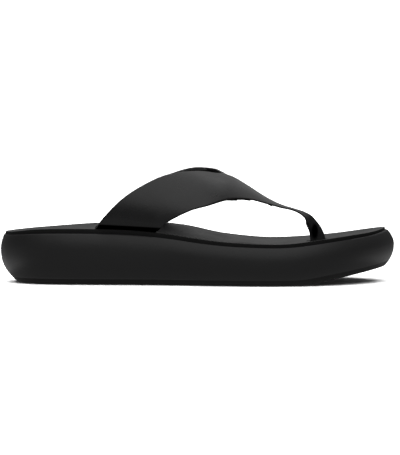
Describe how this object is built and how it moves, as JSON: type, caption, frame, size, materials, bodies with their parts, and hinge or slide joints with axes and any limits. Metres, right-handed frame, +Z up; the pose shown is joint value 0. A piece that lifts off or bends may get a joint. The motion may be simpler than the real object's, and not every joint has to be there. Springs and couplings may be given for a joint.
{
  "type": "flip flop",
  "caption": "Right-foot thong sandal: wide leather straps from both sides fold into a toe post, over a smooth leather footbed on a thick rounded foam sole.",
  "frame": {"origin": "on the ground, under the middle of the overall outline", "axes": "+X from heel to toe, +Y to the medial side (the wearer's left on this right shoe), +Z up"},
  "size_m": [0.2694, 0.1037, 0.0776],
  "materials": {
    "rubber": "matt black rubber",
    "foam_unit": "moulded black foam with a satin skin",
    "soft_foam": "open-cell foam",
    "fibreboard": "pressed fibreboard",
    "leather": "smooth black leather, satin",
    "lining": "thin matt black leather",
    "tape": "woven black tape",
    "steel": "bare wire"
  },
  "bodies": {
    "root": {"outsole": "rubber", "midsole": "foam_unit", "bottom_filler": "soft_foam", "insole_board": "fibreboard", "footbed_foam": "soft_foam", "insole_cover": "leather", "lateral_strap": "leather", "lateral_strap_lining": "lining", "medial_strap": "leather", "medial_strap_lining": "lining", "toe_post_tape": "tape", "toe_post_pin": "steel", "lateral_staple_rear": "steel", "lateral_staple_front": "steel", "medial_staple_rear": "steel", "medial_staple_front": "steel"}
  },
  "joints": []
}
